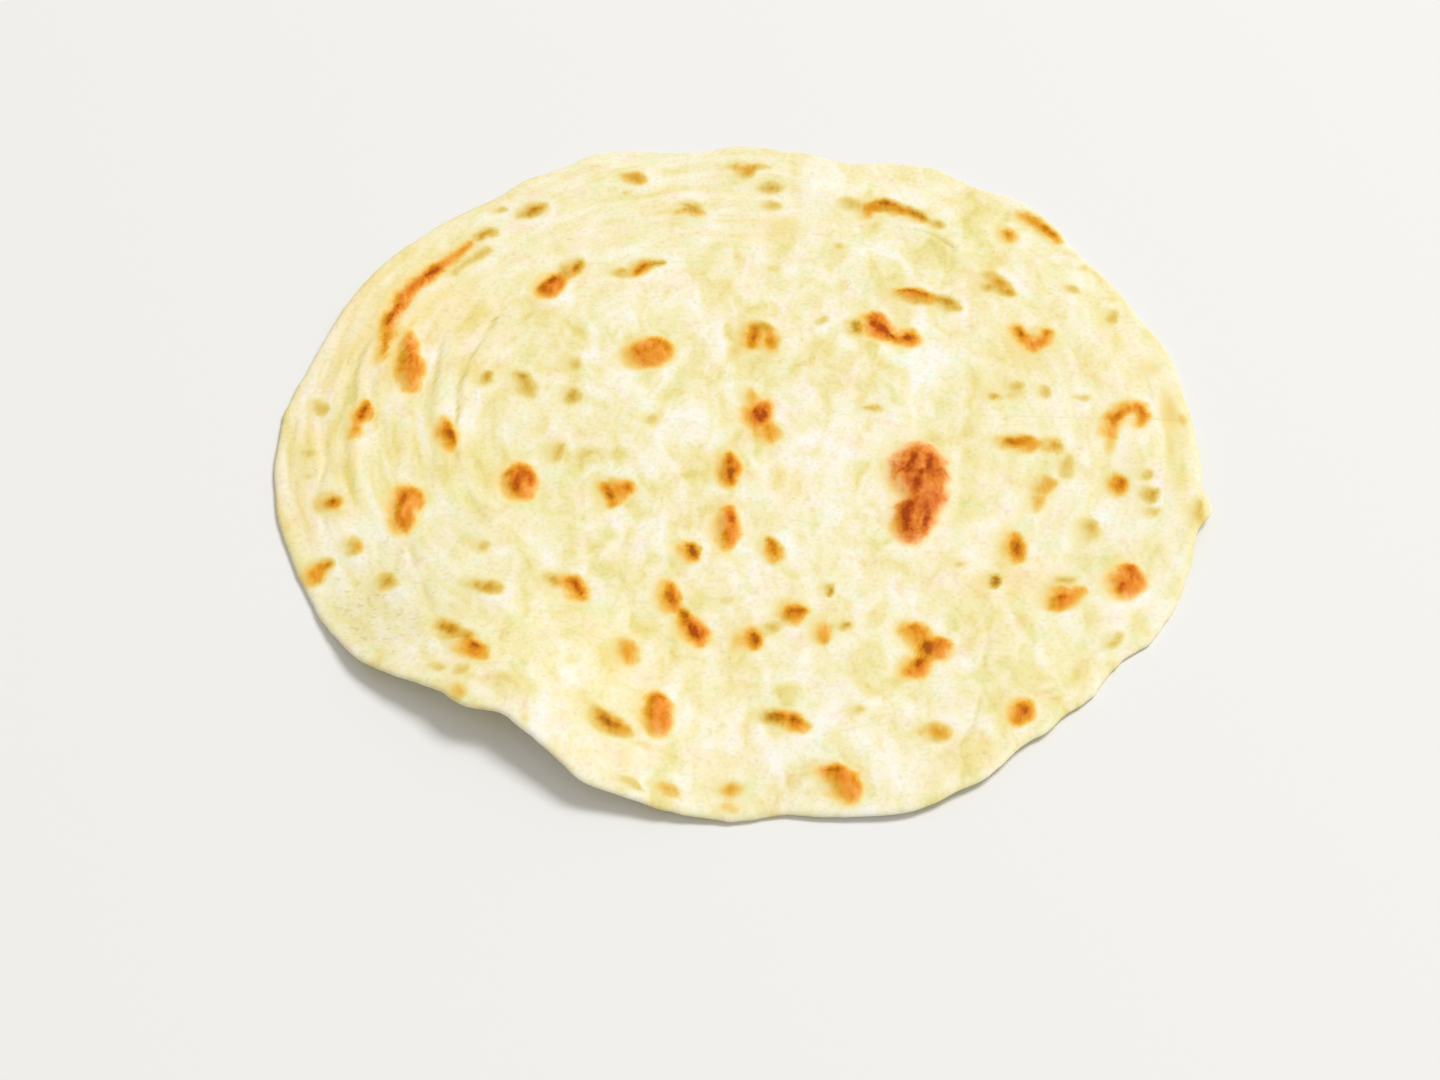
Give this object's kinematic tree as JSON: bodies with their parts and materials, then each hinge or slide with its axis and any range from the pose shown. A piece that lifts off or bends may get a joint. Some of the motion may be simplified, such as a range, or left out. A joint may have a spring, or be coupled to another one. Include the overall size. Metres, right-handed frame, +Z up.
{
  "type": "chapati flatbread",
  "caption": "Thin round flatbread of coiled, layered dough, browned in blisters, with an uneven outline and a stretch of rim lifted in a wave.",
  "frame": {"origin": "on the surface the bread rests on, at the middle of the outline's box", "axes": "+Z up through the thickness; the lifted stretch of rim lies towards -X -Y"},
  "size_m": [0.2588, 0.2554, 0.0114],
  "materials": {
    "toasted_dough": "soft cream dough, slightly oily, browned in patches"
  },
  "bodies": {
    "root": {"chapati": "toasted_dough"}
  },
  "joints": []
}
